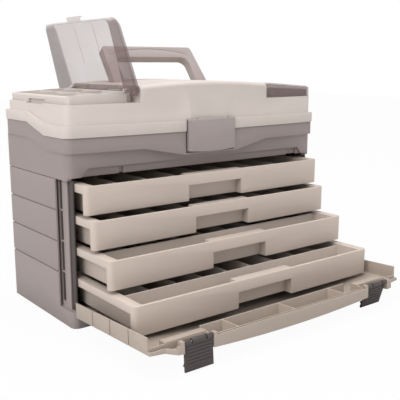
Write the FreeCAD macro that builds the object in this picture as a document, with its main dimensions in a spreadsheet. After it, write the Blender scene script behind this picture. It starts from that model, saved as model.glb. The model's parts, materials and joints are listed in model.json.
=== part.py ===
import FreeCAD, Part
import Sketcher
import math
import os

# Fishing tackle cabinet: a bulk tub under a hinged lid with two lidded pocket trays and a carry
# handle, over four pull-out drawers behind a drop-down front door.
# Frame: +X right, +Y back, +Z up, millimetres; the origin is the middle of the base on the floor.
# The pose is the open one: drawers staggered out, door down, left pocket cover raised.

DIMENSIONS = [
    # cabinet shell
    ("body_width", 540), ("body_depth", 225), ("shell_wall", 3),
    ("sill_reach", 5.5), ("sill_height", 27), ("sill_corner", 12),
    ("groove_width", 2.4), ("groove_depth", 2.2),
    ("recess_length", 43.5), ("recess_inset", 7), ("recess_lip", 15.5), ("recess_slot", 12),
    ("recess_window", 10), ("recess_bridge", 3),
    # drawer bays
    ("bay_floor", 35), ("bay_pitch", 51.5), ("bay_gap", 0.5),
    # base pan
    ("pan_wall", 2.5), ("pan_clearance", 0.3), ("pan_rib", 2),
    # upper tub
    ("tub_wall", 3), ("tub_corner", 12), ("leg_width", 25), ("leg_slant", 12), ("leg_rise", 3.5),
    ("arch_rise", 17.5), ("beam_setback", 5), ("beam_rise", 4), ("beam_slot_middle", 170),
    ("beam_slot_width", 8), ("beam_notch", 26), ("tub_floor_rise", 5),
    ("rim_overhang", 3), ("rim_front_overhang", 3.5), ("rim_back_overhang", 2.5),
    ("rim_corner", 14), ("rim_bow", 14), ("rim_rise", 42.5), ("rim_step", 15.5),
    ("dip_depth", 16), ("dip_inner", 56), ("dip_outer", 136), ("ramp_front", 45),
    ("ramp_back", 20), ("seam_rise", 23.5), ("seam_step", 18), ("seam_gap", 0.5),
    # lid
    ("band_overlap", 1.5), ("band_reach", 2), ("band_height", 18.5), ("band_step", 16.5),
    ("lid_inset", 2), ("lid_front_reach", 0.5), ("lid_back_inset", 0.5), ("lid_bow", 12),
    ("lid_corner", 13), ("cover_corner", 12), ("lid_wall", 3), ("ledge_rise", 51),
    ("crown_rise", 33),
    ("crown_radius", 1500), ("crown_round", 7), ("lid_hinge_radius", 4), ("lid_hinge_gap", 0.5),
    ("lid_rod_radius", 1.5), ("lid_knuckle_length", 40), ("lid_knuckle_inset", 80),
    ("lid_web_height", 8),
    # pocket trays
    ("tray_inset", 5), ("tray_side_gap", 1), ("tray_front_inset", 3), ("tray_back_inset", 5.5),
    ("tray_depth", 32), ("tray_wall", 2.5), ("tray_outer_rise", 13), ("tray_inner_rise", 18.5),
    ("tray_seat", 2), ("tray_bevel", 2),
    ("pocket_wall", 2), ("catch_length", 62), ("catch_depth", 4), ("catch_rise", 5.5),
    ("catch_drop", 2),
    # pocket covers
    ("cover_width", 119.5), ("cover_axis_rise", 19), ("cover_round", 8.5), ("cover_slope", 17),
    ("cover_outer_rise", 20), ("cover_shoulder_rise", 14.5), ("cover_inset", 1.5),
    ("cover_wall", 2.2), ("cover_gap", 0.4), ("cover_barrel", 4.2), ("cover_rod_radius", 1.5),
    ("cover_knuckle", 10), ("cover_knuckle_place", 84), ("cover_centre_knuckle", 70),
    ("cover_back_inset", 1.5), ("cover_notch_rise", 6), ("cover_rib", 0.9),
    ("cover_rib_start", 44), ("cover_rib_spacing", 32), ("crown_gap", 1.5),
    ("cover_tab_width", 44), ("cover_tab_reach", 6.5), ("cover_tab_thickness", 2.4),
    ("cover_tab_lip", 5.5),
    ("left_cover_open", 78),
    # centre latch
    ("latch_half_width", 51), ("latch_gap", 2.5), ("latch_headroom", 1), ("latch_proud", 4),
    ("latch_plate", 2.2), ("latch_hang", 50.5), ("latch_pin_depth", 5.5), ("latch_pin_rise", 17),
    ("latch_barrel", 4.5), ("latch_pin_radius", 1.2), ("latch_ear_radius", 2.7),
    ("latch_depth", 8.5), ("latch_pocket_depth", 6), ("latch_ear_middle", 34),
    ("latch_ear_width", 8), ("latch_bow", 1), ("latch_smile", 2.5),
    # carry handle
    ("handle_pivot_back", 16), ("handle_pivot_depth", 15.5), ("handle_lean", 38.6),
    ("handle_half_width", 105), ("handle_taper", 4), ("handle_reach", 92),
    ("handle_leg", 24), ("handle_grip", 25), ("handle_thickness", 16), ("handle_pin_radius", 3),
    ("handle_chamfer", 4), ("handle_throat", 14), ("handle_leg_slim", 10),
    ("handle_slot_front", 14), ("handle_slot_back", 23), ("handle_slot_depth", 11.5),
    ("handle_slot_gap", 1.5), ("handle_crease_drop", 5), ("handle_crease_rise", 13),
    ("handle_crease_width", 1), ("handle_crease_depth", 0.7),
    # drawers
    ("flange_width", 14), ("drawer_height", 46), ("drawer_length", 207), ("drawer_inset", 0.5),
    ("drawer_face", 5), ("drawer_wall", 2.5), ("drawer_corner", 8), ("flange_drop", 13),
    ("pull_half_width", 59), ("pull_height", 27), ("pull_depth", 17), ("trough_depth", 58),
    ("divider_thickness", 1.6), ("divider_height", 37), ("divider_gap", 0.4),
    ("drawer_1_out", 33), ("drawer_2_out", 53), ("drawer_3_out", 100),
    ("drawer_4_out", 165),
    # runner racks
    ("rack_plate", 3), ("rack_gap", 0.3), ("rack_clearance", 1.2), ("rack_ledge", 3),
    ("rack_play", 0.5), ("rack_ledge_clearance", 2), ("rack_back_gap", 4.5), ("rack_guide", 7),
    ("rack_guide_height", 2), ("rack_face_gap", 2.5),
    # front door
    ("door_hinge_reach", 8.5), ("door_tilt", 2.5), ("door_leg_gap", 1.5), ("door_tongue_gap", 0.5),
    ("door_wall", 2.5), ("door_heel", 6), ("door_heel_height", 2), ("door_under", 3.5),
    ("door_side_height", 21),
    ("door_inner_height", 5), ("door_corner_height", 1), ("door_corner_depth", 6), ("door_bow", 14),
    ("door_partition", 184), ("door_partition_inset", 6), ("door_cell_pitch", 118),
    ("door_lip_gap", 2.6), ("door_knuckle", 24),
    ("door_knuckle_inset", 120), ("door_barrel", 4.5), ("door_rod_radius", 1.75),
    ("pad_length", 15), ("pad_thickness", 1.6), ("pad_inner_inset", 104), ("pad_outer_inset", 30),
    # door latches
    ("clip_inset", 37), ("clip_width", 50), ("clip_length", 42.5), ("clip_plate", 2.8),
    ("clip_pin_inset", 4), ("clip_pin_height", 6), ("clip_barrel", 4), ("clip_pin_radius", 1.5),
    ("clip_side_gap", 1), ("clip_ear", 6), ("clip_ear_wall", 2.5), ("clip_pocket", 15),
    ("clip_hook_place", 29), ("clip_hook", 2.2), ("clip_rib", 1.2), ("clip_nub", 0.6),
    ("clip_rib_pitch", 5), ("clip_edge", 3), ("clip_slot_place", 13), ("clip_slot", 3),
    ("left_clip_lean", 4), ("right_clip_lean", -17),
    # running clearances
    ("pin_play", 0.1), ("hinge_gap", 0.8), ("overlap", 1),
]


class Size:
    """A length kept as its number and as the sheet expression that gives it."""

    def __init__(self, number, text):
        self.number = number
        self.text = text

    def __add__(self, other):
        other = size(other)
        return Size(self.number + other.number, f"({self.text} + {other.text})")

    def __radd__(self, other):
        return size(other) + self

    def __sub__(self, other):
        other = size(other)
        return Size(self.number - other.number, f"({self.text} - {other.text})")

    def __rsub__(self, other):
        return size(other) - self

    def __mul__(self, other):
        other = size(other)
        return Size(self.number * other.number, f"({self.text} * {other.text})")

    def __rmul__(self, other):
        return size(other) * self

    def __truediv__(self, other):
        other = size(other)
        return Size(self.number / other.number, f"({self.text} / {other.text})")

    def __neg__(self):
        return Size(-self.number, f"(0 - {self.text})")


def size(value):
    if isinstance(value, Size):
        return value
    return Size(value, f"({value})" if value < 0 else f"{value}")


def cosine(angle):
    return Size(math.cos(math.radians(angle.number)), f"cos({angle.text} * 1 deg)")


def sine(angle):
    return Size(math.sin(math.radians(angle.number)), f"sin({angle.text} * 1 deg)")


def root(value):
    return Size(math.sqrt(value.number), f"sqrt({value.text})")


doc = FreeCAD.newDocument("tackle_cabinet")
sheet = doc.addObject("Spreadsheet::Sheet", "Sizes")
for row, (alias, number) in enumerate(DIMENSIONS, start=1):
    sheet.set(f"A{row}", alias)
    sheet.set(f"B{row}", str(number))
    sheet.setAlias(f"B{row}", alias)
doc.recompute()


class Sheet:
    """Reads a cell of the sheet by its alias."""

    def __getattr__(self, alias):
        return Size(float(sheet.get(alias)), f"Sizes.{alias}")


S = Sheet()
parts = []
# Every hinge is a group of three knuckles.
KNUCKLES = 3


def bind(item, name, value):
    value = size(value)
    item.setExpression(name, value.text)


def keep(item, label):
    """Names a finished piece and puts it on the list of pieces to write."""
    item.Label = label
    parts.append(item)
    return item


def box(x0, x1, y0, y1, z0, z1):
    item = doc.addObject("Part::Box", "Box")
    x0, y0, z0 = size(x0), size(y0), size(z0)
    bind(item, "Length", size(x1) - x0)
    bind(item, "Width", size(y1) - y0)
    bind(item, "Height", size(z1) - z0)
    bind(item, "Placement.Base.x", x0)
    bind(item, "Placement.Base.y", y0)
    bind(item, "Placement.Base.z", z0)
    return item


def wide_box(half, y0, y1, z0, z1):
    """A box centred on the plane X = 0."""
    return box(-size(half), half, y0, y1, z0, z1)


AXIS_TURN = {
    "X": FreeCAD.Rotation(FreeCAD.Vector(0, 1, 0), 90),
    "Y": FreeCAD.Rotation(FreeCAD.Vector(1, 0, 0), -90),
    "Z": FreeCAD.Rotation(),
}


def cylinder(axis, radius, start, end, first, second):
    """A cylinder along an axis from start to end; first and second place it across the axis."""
    item = doc.addObject("Part::Cylinder", "Cylinder")
    start, first, second = size(start), size(first), size(second)
    bind(item, "Radius", radius)
    bind(item, "Height", size(end) - start)
    item.Placement = FreeCAD.Placement(FreeCAD.Vector(), AXIS_TURN[axis])
    place = {"X": (start, first, second), "Y": (first, start, second), "Z": (first, second, start)}
    for name, value in zip("xyz", place[axis]):
        bind(item, f"Placement.Base.{name}", value)
    return item


def fuse(items):
    item = doc.addObject("Part::MultiFuse", "Fuse")
    item.Shapes = items
    return item


def common(first, second):
    item = doc.addObject("Part::Common", "Common")
    item.Base = first
    item.Tool = second
    return item


def cut(base, tools):
    item = doc.addObject("Part::Cut", "Cut")
    item.Base = base
    item.Tool = tools[0] if len(tools) == 1 else fuse(tools)
    return item


PLANES = {"XY": "XY_Plane", "XZ": "XZ_Plane", "YZ": "YZ_Plane"}


def prism(plane, points, start, end):
    """A body padded from an outline of corner points, from start to end across its plane."""
    body = doc.addObject("PartDesign::Body", "Prism")
    sketch = body.newObject("Sketcher::SketchObject", "Outline")
    role = PLANES[plane]
    origin = [item for item in body.Origin.OriginFeatures if item.Role == role][0]
    start, end = size(start), size(end)
    # The XZ plane faces -Y, so a pad grows from the larger Y towards the smaller one.
    offset = -end if plane == "XZ" else start
    sketch.AttachmentSupport = [(origin, "")]
    sketch.MapMode = "FlatFace"
    sketch.AttachmentOffset = FreeCAD.Placement(FreeCAD.Vector(0, 0, offset.number),
                                                FreeCAD.Rotation())
    bind(sketch, "AttachmentOffset.Base.z", offset)
    corners = [(size(a), size(b)) for a, b in points]
    spots = [FreeCAD.Vector(a.number, b.number, 0) for a, b in corners]
    for index, spot in enumerate(spots):
        sketch.addGeometry(Part.LineSegment(spot, spots[(index + 1) % len(spots)]), False)
    for index in range(len(spots)):
        following = (index + 1) % len(spots)
        sketch.addConstraint(Sketcher.Constraint("Coincident", index, 2, following, 1))
    for index, (a, b) in enumerate(corners):
        for kind, value in (("DistanceX", a), ("DistanceY", b)):
            constraint = Sketcher.Constraint(kind, -1, 1, index, 1, value.number)
            place = sketch.addConstraint(constraint)
            sketch.setExpression(f"Constraints[{place}]", value.text)
    pad = body.newObject("PartDesign::Pad", "Pad")
    pad.Profile = sketch
    bind(pad, "Length", end - start)
    return body


def bow_radius(half, bow):
    """Radius of the arc that rises by bow over a chord reaching half to each side."""
    return (half * half + bow * bow) / (bow * 2)


def bowed_block(half, front, back, bow, z0, z1):
    """A block whose front face bows forward by bow at the middle; front and back are distances."""
    radius = bow_radius(size(half), size(bow))
    arc = cylinder("Z", radius, z0, z1, 0, radius - front - bow)
    return common(wide_box(half, -(front + bow), back, z0, z1), arc)


def rounded_plan(half, front, back, bow, corner, z0, z1):
    """A bowed block with its four upright edges rounded."""
    inner = half - corner
    radius = bow_radius(half, bow)
    proud = root(radius * radius - inner * inner) - radius + bow
    arc = cylinder("Z", radius, z0, z1, 0, radius - front - bow)
    middle = common(wide_box(inner, -(front + bow), back, z0, z1), arc)
    nose, tail = corner - front - proud, back - corner
    pieces = [middle, wide_box(half, nose, tail, z0, z1)]
    for x in (-inner, inner):
        for y in (nose, tail):
            pieces.append(cylinder("Z", corner, z0, z1, x, y))
    return fuse(pieces)


def rounded(item, radius, wanted):
    """Rounds those edges of an item that wanted picks out."""
    doc.recompute()
    body = doc.addObject("PartDesign::Body", "Rounded")
    body.BaseFeature = item
    doc.recompute()
    names = [f"Edge{index}" for index, edge in enumerate(item.Shape.Edges, start=1)
             if wanted(edge)]
    fillet = body.newObject("PartDesign::Fillet", "Fillet")
    fillet.Base = (body.Group[0], names)
    bind(fillet, "Radius", radius)
    return body


def ordered(first, second):
    """Two places in rising order."""
    return sorted([size(first), size(second)], key=lambda item: item.number)


def turned(item, axis, angle, first, second):
    """Places an item turned by angle about a line along X or Y through (first, second)."""
    first, second = size(first), size(second)
    turn = {"X": FreeCAD.Vector(1, 0, 0), "Y": FreeCAD.Vector(0, 1, 0)}[axis]
    item.Placement = FreeCAD.Placement(FreeCAD.Vector(), FreeCAD.Rotation(turn, angle.number))
    bind(item, "Placement.Rotation.Angle", angle)
    if axis == "X":
        bind(item, "Placement.Base.y", first - first * cosine(angle) + second * sine(angle))
        bind(item, "Placement.Base.z", second - first * sine(angle) - second * cosine(angle))
    else:
        bind(item, "Placement.Base.x", first - first * cosine(angle) - second * sine(angle))
        bind(item, "Placement.Base.z", second + first * sine(angle) - second * cosine(angle))
    return item


# Everything below follows from the driving sizes of the sheet. Front and back sizes are distances
# from the middle plane of the cabinet's depth.
BODY_HALF = S.body_width / 2
DEPTH_HALF = S.body_depth / 2
FRONT = -DEPTH_HALF
BACK = DEPTH_HALF
CABINET_TOP = S.bay_floor + S.bay_pitch * 4
SILL_FRONT = FRONT - S.sill_reach
RECESS_BACK = FRONT + S.recess_length
RECESS_SIDE = BODY_HALF - S.recess_inset
RECESS_FRONT = FRONT + S.recess_lip
WALL = S.shell_wall
# How far a cutter runs past a face, and how far a joined piece reaches into its neighbour.
OVER = S.overlap

LEG_BOTTOM = CABINET_TOP + S.leg_rise
LEG_INNER = BODY_HALF - S.leg_width
ARCH_INNER = LEG_INNER - S.leg_slant
ARCH_TOP = CABINET_TOP + S.arch_rise
BEAM_BOTTOM = CABINET_TOP + S.beam_rise
BEAM_END = ARCH_INNER - S.beam_notch
TUB_FLOOR = CABINET_TOP + S.tub_floor_rise
RIM_HALF = BODY_HALF + S.rim_overhang
RIM_FRONT = DEPTH_HALF + S.rim_front_overhang
RIM_BACK = DEPTH_HALF + S.rim_back_overhang
RIM_LOW = CABINET_TOP + S.rim_rise
RIM_HIGH = RIM_LOW + S.rim_step
DIP_BOTTOM = RIM_LOW - S.dip_depth
SEAM_LOW = RIM_LOW + S.seam_rise
SEAM_HIGH = SEAM_LOW + S.seam_step

BAND_HALF = RIM_HALF + S.band_overlap
BAND_FRONT = RIM_FRONT + S.band_reach
BAND_BACK = RIM_BACK + S.band_reach
BAND_LOW = SEAM_LOW + S.band_height
BAND_HIGH = BAND_LOW + S.band_step
BAND_CORNER = S.rim_corner + S.band_overlap
LID_HALF = BODY_HALF - S.lid_inset
LID_FRONT = DEPTH_HALF + S.lid_front_reach
LID_BACK = DEPTH_HALF - S.lid_back_inset
LEDGE = SEAM_LOW + S.ledge_rise
CROWN_TOP = LEDGE + S.crown_rise
LID_KNUCKLE_MIDDLE = BODY_HALF - S.lid_knuckle_inset
LID_HINGE_BACK = BAND_BACK + S.lid_hinge_radius + S.lid_hinge_gap

COVER_AXIS = LID_HALF - S.cover_width
COVER_AXIS_Z = LEDGE + S.cover_axis_rise
COVER_HALF = LID_HALF - S.cover_inset
COVER_OUTER_SIDE = LID_HALF - S.cover_slope
COVER_OUTER_TOP = LEDGE + S.cover_outer_rise
COVER_SHOULDER = LEDGE + S.cover_shoulder_rise
COVER_BACK = LID_BACK - S.cover_back_inset
CROWN_HALF = COVER_AXIS - S.cover_round - S.crown_gap
TRAY_INNER_SIDE = COVER_AXIS + S.cover_round + S.tray_side_gap
TRAY_FLOOR = LEDGE - S.tray_depth
TRAY_OUTER_TOP = LEDGE + S.tray_outer_rise
TRAY_INNER_TOP = LEDGE + S.tray_inner_rise

LATCH_FRONT = BAND_FRONT + S.rim_bow + S.latch_proud
LATCH_PIN_FRONT = LATCH_FRONT - S.latch_pin_depth
LATCH_PIN_Z = SEAM_LOW + S.latch_pin_rise
LATCH_BOTTOM = LATCH_PIN_Z - S.latch_hang
LATCH_POCKET_FRONT = RIM_FRONT + S.rim_bow - S.latch_pocket_depth
HANDLE_PIVOT_Z = CROWN_TOP - S.handle_pivot_depth
HANDLE_SLOT_FLOOR = HANDLE_PIVOT_Z - S.handle_slot_depth
HANDLE_TOP_HALF = S.handle_half_width - S.handle_taper
HANDLE_INNER = S.handle_half_width - S.handle_leg - S.handle_slot_gap - S.lid_wall
HANDLE_OUTER = S.handle_half_width + S.handle_slot_gap + S.lid_wall

RACK_OUTER = RECESS_SIDE - S.pan_wall - S.rack_gap
RACK_INNER = RACK_OUTER - S.rack_plate
DRAWER_FRONT_HALF = RACK_INNER - S.rack_clearance
DRAWER_HALF = DRAWER_FRONT_HALF - S.flange_width
DRAWER_HOME = DEPTH_HALF - S.drawer_inset
RACK_FRONT = DRAWER_HOME - S.drawer_corner - S.drawer_wall - S.rack_play
RACK_FACE = DEPTH_HALF - S.rack_face_gap
RACK_BACK = DEPTH_HALF - WALL - S.rack_back_gap

DOOR_HINGE_FRONT = DEPTH_HALF + S.door_hinge_reach
DOOR_HINGE_Z = S.sill_height
DOOR_LENGTH = LEG_BOTTOM - DOOR_HINGE_Z - S.door_leg_gap
PAD_INNER = BODY_HALF - S.pad_inner_inset
PAD_OUTER = BODY_HALF - S.pad_outer_inset
PARTITION_HALF = PAD_INNER - S.door_partition_inset
DOOR_TONGUE = ARCH_TOP - DOOR_HINGE_Z - S.door_tongue_gap
CLIP_MIDDLE = ARCH_INNER - S.clip_inset
DOOR_KNUCKLE_MIDDLE = BODY_HALF - S.door_knuckle_inset
CLIP_PIN_PLACE = DOOR_TONGUE - S.clip_pin_inset
CLIP_EAR_REACH = S.clip_width / 2 + S.clip_side_gap + S.clip_ear


def bay_bottom(number):
    """Height of a drawer's underside; drawer 1 is the top one."""
    return S.bay_floor + S.bay_gap + S.bay_pitch * (4 - number)


def mirrored_boxes(x0, x1, y0, y1, z0, z1):
    """The same box on both sides of the middle plane; x0 and x1 are distances from it."""
    x0, x1 = size(x0), size(x1)
    return [box(x0, x1, y0, y1, z0, z1), box(-x1, -x0, y0, y1, z0, z1)]


def spans(middle, length):
    """A stretch of the given length about middle, on both sides of the middle plane."""
    middle, half = size(middle), size(length) / 2
    return [(middle - half, middle + half), (-middle - half, -middle + half)]


# ---------------------------------------------------------------- cabinet shell
def rounded_front(half, front, back, corner, z0, z1):
    """A block with its two front upright edges rounded."""
    half, front, corner = size(half), size(front), size(corner)
    pieces = [
        wide_box(half, front + corner, back, z0, z1),
        wide_box(half - corner, front, front + corner * 2, z0, z1),
        cylinder("Z", corner, z0, z1, half - corner, front + corner),
        cylinder("Z", corner, z0, z1, corner - half, front + corner),
    ]
    return common(fuse(pieces), wide_box(half, front, back, z0, z1))


def side_grooves():
    """The level grooves that part the side walls into bands."""
    cutters = []
    for level in range(1, 5):
        middle = S.bay_floor + S.bay_pitch * level
        low = middle - S.groove_width / 2
        high = middle + S.groove_width / 2
        cutters += mirrored_boxes(BODY_HALF - S.groove_depth, BODY_HALF + OVER,
                                  RECESS_BACK - OVER, BACK + OVER, low, high)
    return cutters


def recess_windows():
    """The row of tall windows behind the front edge of each side wall, one to a bay."""
    cutters = []
    for level in range(4):
        low = S.bay_floor + S.bay_pitch * level
        cutters += mirrored_boxes(RECESS_SIDE - S.pan_wall - OVER, RECESS_SIDE + OVER,
                                  RECESS_BACK - S.recess_window, RECESS_BACK + OVER,
                                  low + S.recess_bridge / 2,
                                  low + S.bay_pitch - S.recess_bridge / 2)
    return cutters


def make_cabinet_shell():
    sill = rounded_front(BODY_HALF, SILL_FRONT, BACK, S.sill_corner, 0, S.sill_height)
    hollow = rounded_front(BODY_HALF - WALL, SILL_FRONT + WALL, BACK - WALL,
                           S.sill_corner - WALL, -OVER, S.sill_height - WALL)
    base = cut(sill, [hollow])
    low = S.sill_height - WALL
    slot_end = RECESS_BACK + S.recess_slot + WALL
    walls = [wide_box(BODY_HALF, BACK - WALL, BACK, low, CABINET_TOP)]
    walls += mirrored_boxes(BODY_HALF - WALL, BODY_HALF, RECESS_BACK, BACK, low, CABINET_TOP)
    walls += mirrored_boxes(RECESS_SIDE - S.pan_wall, BODY_HALF, slot_end - WALL, slot_end,
                            low, CABINET_TOP)
    walls += mirrored_boxes(RECESS_SIDE - S.pan_wall, RECESS_SIDE, RECESS_FRONT, slot_end,
                            low, CABINET_TOP)
    knuckles = []
    for shift in (-S.door_knuckle, S.door_knuckle):
        for x0, x1 in spans(DOOR_KNUCKLE_MIDDLE + shift, S.door_knuckle):
            knuckles.append(cylinder("X", S.door_barrel, x0, x1, -DOOR_HINGE_FRONT,
                                     DOOR_HINGE_Z))
    solid = fuse([base] + walls + knuckles)
    cutters = side_grooves() + recess_windows()
    room = S.door_barrel + S.hinge_gap
    rod_end = DOOR_KNUCKLE_MIDDLE + S.door_knuckle * KNUCKLES / 2 + OVER
    cutters.append(cylinder("X", S.door_rod_radius, -rod_end, rod_end, -DOOR_HINGE_FRONT,
                            DOOR_HINGE_Z))
    for x0, x1 in spans(DOOR_KNUCKLE_MIDDLE, S.door_knuckle):
        cutters.append(cylinder("X", room, x0, x1, -DOOR_HINGE_FRONT, DOOR_HINGE_Z))
    return keep(cut(solid, cutters), "cabinet_shell")


def make_base_pan():
    half = BODY_HALF - WALL - S.pan_clearance
    front = SILL_FRONT + WALL + S.pan_clearance
    back = BACK - WALL - S.pan_clearance
    corner = S.sill_corner - WALL
    top = S.sill_height - WALL
    outer = rounded_front(half, front, back, corner, 0, top)
    inner = rounded_front(half - S.pan_wall, front + S.pan_wall, back - S.pan_wall,
                          corner - S.pan_wall, S.pan_wall, top + OVER)
    pan = cut(outer, [inner])
    ribs = []
    for place in (-1, 0, 1):
        middle = half / 2 * place
        ribs.append(box(middle - S.pan_rib / 2, middle + S.pan_rib / 2,
                        front + OVER, back - OVER, 1, top))
    return keep(fuse([pan] + ribs), "base_pan")


# ---------------------------------------------------------------- upper tub
def band_profile(front_low, back_low, front_high, back_high, half):
    """The side view of a band that steps up towards the back, as a slab across the whole width."""
    reach = S.body_depth
    points = [
        (-reach, front_low), (-S.ramp_front, front_low), (S.ramp_back, back_low),
        (reach, back_low), (reach, back_high), (S.ramp_back, back_high),
        (-S.ramp_front, front_high), (-reach, front_high),
    ]
    return prism("YZ", points, -size(half) - OVER, size(half) + OVER)


def rim_dip():
    """The deeper stretch of the rim under the centre latch, seen from the front."""
    top = RIM_LOW + WALL
    points = [
        (-S.dip_outer, RIM_LOW), (-S.dip_inner, DIP_BOTTOM), (S.dip_inner, DIP_BOTTOM),
        (S.dip_outer, RIM_LOW), (S.dip_outer, top), (-S.dip_outer, top),
    ]
    slab = prism("XZ", points, -(RIM_FRONT + S.rim_bow), FRONT + OVER)
    plan = bowed_block(RIM_HALF, RIM_FRONT, FRONT + OVER, S.rim_bow, DIP_BOTTOM, top)
    return common(slab, plan)


def apron_arch():
    """The opening over the drawers with a leg at each end."""
    low = CABINET_TOP - OVER
    wide = BODY_HALF + OVER
    return [
        (-wide, low), (wide, low), (wide, LEG_BOTTOM), (LEG_INNER, LEG_BOTTOM),
        (ARCH_INNER, ARCH_TOP), (-ARCH_INNER, ARCH_TOP),
        (-LEG_INNER, LEG_BOTTOM), (-wide, LEG_BOTTOM),
    ]


def make_upper_tub():
    wall = S.tub_wall
    high = SEAM_HIGH
    inner_half = BODY_HALF - wall
    under_half = RECESS_SIDE - S.pan_wall
    beam_back = FRONT + S.beam_setback + wall
    lower = rounded_front(BODY_HALF, FRONT, BACK, S.tub_corner, CABINET_TOP, RIM_HIGH)
    rim_plan = rounded_plan(RIM_HALF, RIM_FRONT, RIM_BACK, S.rim_bow, S.rim_corner, RIM_LOW, high)
    rim = common(rim_plan, band_profile(RIM_LOW, RIM_HIGH, SEAM_LOW, SEAM_HIGH, RIM_HALF))
    low_limit = band_profile(CABINET_TOP - OVER, CABINET_TOP - OVER, SEAM_LOW, SEAM_HIGH, RIM_HALF)
    body = fuse([common(lower, low_limit), rim, rim_dip()])
    cavity_plan = rounded_plan(RIM_HALF - wall, RIM_FRONT - wall, RIM_BACK - wall, S.rim_bow,
                               S.rim_corner - wall, RIM_LOW + wall, high + OVER)
    rim_cavity = common(cavity_plan, band_profile(RIM_LOW + wall, RIM_HIGH + wall,
                                                  high + OVER, high + OVER, RIM_HALF))
    step = ARCH_TOP + wall * 2
    slot_half = S.beam_slot_width / 2
    latch_room = S.latch_half_width + S.latch_gap
    cutters = [
        rim_cavity,
        rounded_front(inner_half, FRONT + wall, BACK - wall, S.tub_corner - wall, step, high + OVER),
        wide_box(inner_half, beam_back + wall, BACK - wall, TUB_FLOOR + wall, step + OVER),
        wide_box(under_half, beam_back, BACK - wall, CABINET_TOP - OVER, TUB_FLOOR),
        prism("XZ", apron_arch(), FRONT - OVER, FRONT + S.beam_setback),
        wide_box(under_half, FRONT, beam_back + OVER, CABINET_TOP - OVER, BEAM_BOTTOM),
        box(-S.beam_slot_middle - slot_half, -S.beam_slot_middle + slot_half,
            FRONT - OVER, beam_back, CABINET_TOP - OVER, ARCH_TOP - wall),
        box(BEAM_END, ARCH_INNER, FRONT - OVER, beam_back, CABINET_TOP - OVER, ARCH_TOP - wall),
        wide_box(latch_room, -(RIM_FRONT + S.rim_bow) - OVER, -LATCH_POCKET_FRONT,
                 DIP_BOTTOM + wall, high + OVER),
    ]
    knuckles = lid_knuckles(0, SEAM_HIGH - S.lid_web_height,
                            SEAM_HIGH - S.seam_gap - S.hinge_gap)
    solid = fuse([cut(body, cutters)] + knuckles)
    return keep(cut(solid, [lid_rod_bore(0)]), "upper_tub")


# ---------------------------------------------------------------- lid hinge
def lid_knuckles(shift, web_low, web_high):
    """Barrels behind the seam, moved along the rod by shift, with a web between two heights."""
    pieces = []
    for x0, x1 in spans(LID_KNUCKLE_MIDDLE + shift, S.lid_knuckle_length):
        pieces.append(cylinder("X", S.lid_hinge_radius, x0, x1, LID_HINGE_BACK, SEAM_HIGH))
        pieces.append(box(x0, x1, RIM_BACK - OVER, LID_HINGE_BACK, web_low, web_high))
    return pieces


def lid_rod_bore(play):
    reach = LID_KNUCKLE_MIDDLE + S.lid_knuckle_length * 2
    return cylinder("X", S.lid_rod_radius + play, -reach, reach, LID_HINGE_BACK, SEAM_HIGH)


def make_lid_rod():
    end = LID_KNUCKLE_MIDDLE + S.lid_knuckle_length * KNUCKLES / 2
    rod = cylinder("X", S.lid_rod_radius, -end, end, LID_HINGE_BACK, SEAM_HIGH)
    return keep(rod, "lid_hinge_rod")


# ---------------------------------------------------------------- lid shell
def crown(lowering, z0):
    """The arched middle of the lid, lowered by a wall for the inside."""
    height = CROWN_TOP - lowering
    radius = S.crown_radius - lowering
    front, back = -(LID_FRONT + S.lid_bow) - OVER, LID_BACK + OVER
    middle = CROWN_TOP - S.crown_radius
    arch = cylinder("Y", radius, front, back, 0, middle)
    half = CROWN_HALF - lowering
    return common(wide_box(half, front, back, z0, height), arch)


def lid_plan(inset, z0, z1):
    return rounded_plan(LID_HALF - inset, LID_FRONT - inset, LID_BACK - inset, S.lid_bow,
                        S.lid_corner - inset, z0, z1)


def handle_slots(margin, floor):
    """Pockets for the two legs of the handle; margin grows them sideways into their casing."""
    inner = S.handle_half_width - S.handle_leg - S.handle_slot_gap - margin
    outer = S.handle_half_width + S.handle_slot_gap + margin
    return mirrored_boxes(inner, outer, S.handle_pivot_back - S.handle_slot_front - margin,
                          S.handle_pivot_back + S.handle_slot_back + margin, floor,
                          CROWN_TOP + OVER)


def tray_opening(inset):
    """The well in the lid's end deck that a pocket tray drops into."""
    x0 = TRAY_INNER_SIDE + inset
    x1 = LID_HALF - S.tray_inset - inset
    return x0, x1


def crown_edge(edge):
    """True for the long top edges at the crown's front and back."""
    ends = edge.BoundBox
    return ends.XLength > CROWN_HALF.number and edge.CenterOfMass.z > COVER_OUTER_TOP.number


def lid_skin():
    """The lid's hollow shell: band, straight wall and raised crown."""
    wall = S.lid_wall
    under = LEDGE - wall
    band_plan = rounded_plan(BAND_HALF, BAND_FRONT, BAND_BACK, S.rim_bow, BAND_CORNER,
                             SEAM_LOW, BAND_HIGH)
    band = common(band_plan, band_profile(SEAM_LOW + S.seam_gap, SEAM_HIGH + S.seam_gap,
                                          BAND_LOW, BAND_HIGH, BAND_HALF))
    lower = common(lid_plan(0, SEAM_LOW, LEDGE),
                   band_profile(SEAM_LOW + S.seam_gap, SEAM_HIGH + S.seam_gap,
                                CROWN_TOP, CROWN_TOP, LID_HALF))
    raised = rounded(common(crown(size(0), under), lid_plan(0, under, CROWN_TOP)),
                     S.crown_round, crown_edge)
    inside_plan = rounded_plan(BAND_HALF - wall, BAND_FRONT - wall, BAND_BACK - wall, S.rim_bow,
                               BAND_CORNER - wall, SEAM_LOW - OVER, BAND_HIGH)
    band_inside = common(inside_plan, band_profile(SEAM_LOW - OVER, SEAM_HIGH - OVER, BAND_LOW - wall,
                                                   BAND_HIGH - wall, BAND_HALF))
    inside = [
        band_inside,
        lid_plan(wall, SEAM_LOW - OVER, under),
        common(crown(wall, under - wall), lid_plan(wall, under - wall, CROWN_TOP)),
    ]
    return cut(fuse([band, lower, raised]), inside)


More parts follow.
